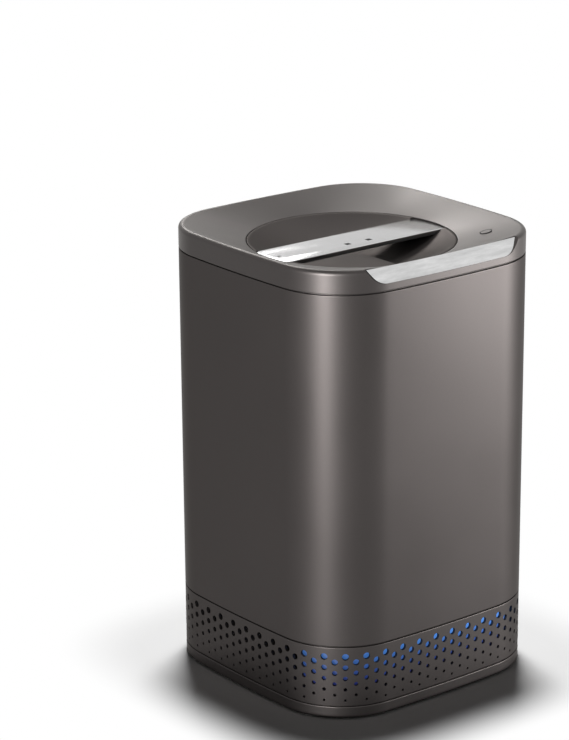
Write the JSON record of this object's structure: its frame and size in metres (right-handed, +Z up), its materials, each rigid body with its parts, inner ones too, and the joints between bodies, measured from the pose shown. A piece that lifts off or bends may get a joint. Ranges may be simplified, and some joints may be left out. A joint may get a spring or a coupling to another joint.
{
  "type": "electric food waste composter",
  "caption": "Square pillar composter with round corners, perforated base band, funnel collar, lift-off lid with a bar handle, lift-out bin with geared stirrer and a rear filter box.",
  "frame": {"origin": "on the floor under the middle of the body", "axes": "+Z up, front with the silver lip at -Y, filter box and inlet at +Y"},
  "size_m": [0.24, 0.24, 0.377],
  "materials": {
    "taupe_metal": "satin metallic taupe",
    "taupe_base": "satin metallic taupe",
    "collar_lacquer": "satin metallic lacquer of the collar",
    "lid_lacquer": "satin metallic lacquer of the lid",
    "silver_trim": "bright satin",
    "brushed_bar": "brushed along its length",
    "key_face": "satin with a printed power sign",
    "black_rubber": "matt",
    "galvanised": "zinc plated",
    "steel": "bright",
    "brushed_liner": "brushed",
    "well_aluminium": "drawn aluminium",
    "bin_coating": "dark non-stick coating",
    "black_plastic": "moulded, fine grain",
    "carbon_felt": "carbon felt",
    "bronze": "sintered",
    "nylon": "natural nylon",
    "circuit_board": "solder mask",
    "blue_light": "translucent light guide, lit blue"
  },
  "bodies": {
    "casing": {"outer_shell": "taupe_metal", "top_collar": "collar_lacquer", "front_lip": "silver_trim", "key_board": "circuit_board", "vent_band": "taupe_metal", "base_tray": "taupe_base", "rubber_feet": "black_rubber", "deck": "galvanised", "tie_posts": "galvanised", "base_screws": "steel", "collar_screws": "steel", "well": "well_aluminium", "well_grille": "black_plastic", "heater_ring": "well_aluminium", "thermostat": "nylon", "drive_seal": "black_rubber", "drive_bearing": "bronze", "idler_pin": "steel", "motor": "galvanised", "gearbox_case": "black_plastic", "gearbox_cover": "black_plastic", "gearbox_screws": "steel", "intake_duct": "black_plastic", "filter_sleeve": "black_plastic", "exhaust_duct": "black_plastic", "fan_housing": "black_plastic", "fan_motor": "galvanised", "main_board": "circuit_board", "board_parts": "black_plastic", "board_posts": "bronze", "led_strip": "circuit_board", "light_guide": "blue_light", "lid_sensor": "circuit_board", "inlet_socket": "black_plastic", "inlet_pins": "steel"},
    "bin": {"bin": "bin_coating", "bin_foot": "bin_coating", "bin_bush": "bronze", "bin_bail": "steel", "bin_ears": "steel", "breaker_bars": "steel"},
    "lid": {"lid_body": "lid_lacquer", "lid_bar": "brushed_bar", "lid_liner": "brushed_liner", "lid_seal": "black_rubber", "lid_magnet": "steel", "lid_screws": "steel"},
    "rotor": {"rotor_hub": "steel", "rotor_arms": "steel", "rotor_socket": "steel"},
    "drive": {"output_gear": "nylon", "drive_shaft": "steel"},
    "idler": {"idler_gear": "nylon"},
    "pinion": {"motor_pinion": "bronze"},
    "fan": {"fan_impeller": "nylon"},
    "key": {"power_key": "key_face"},
    "filter_box": {"filter_drawer": "taupe_base", "filter_cartridge": "carbon_felt"}
  },
  "joints": [
    {"name": "bin_lift", "type": "slide", "parent": "casing", "child": "bin", "axis": [0, 0, 1], "range_m": [0, 0.27]},
    {"name": "lid_lift", "type": "slide", "parent": "bin", "child": "lid", "axis": [0, 0, 1], "range_m": [0, 0.06]},
    {"name": "rotor_spin", "type": "hinge", "parent": "bin", "child": "rotor", "pos_m": [0, 0, 0.13], "axis": [0, 0, 1], "continuous": true},
    {"name": "drive_spin", "type": "hinge", "parent": "casing", "child": "drive", "pos_m": [0, 0, 0.09], "axis": [0, 0, 1], "continuous": true},
    {"name": "idler_spin", "type": "hinge", "parent": "casing", "child": "idler", "pos_m": [-0.042, 0, 0.08], "axis": [0, 0, 1], "continuous": true},
    {"name": "motor_spin", "type": "hinge", "parent": "casing", "child": "pinion", "pos_m": [-0.028, -0.02425, 0.072], "axis": [0, 0, 1], "continuous": true},
    {"name": "fan_spin", "type": "hinge", "parent": "casing", "child": "fan", "pos_m": [0, 0.072, 0.04], "axis": [0, 0, 1], "continuous": true},
    {"name": "key_press", "type": "slide", "parent": "casing", "child": "key", "axis": [0.1818, -0.1472, -0.9722], "range_m": [0, 0.001], "stiffness_N_per_m": 400},
    {"name": "filter_slide", "type": "slide", "parent": "casing", "child": "filter_box", "axis": [0, 1, 0], "range_m": [0, 0.05]}
  ],
  "couplings": [
    {"joint": "drive_spin", "follows": "rotor_spin", "ratio": 1},
    {"joint": "idler_spin", "follows": "rotor_spin", "ratio": -3},
    {"joint": "motor_spin", "follows": "rotor_spin", "ratio": 9}
  ]
}
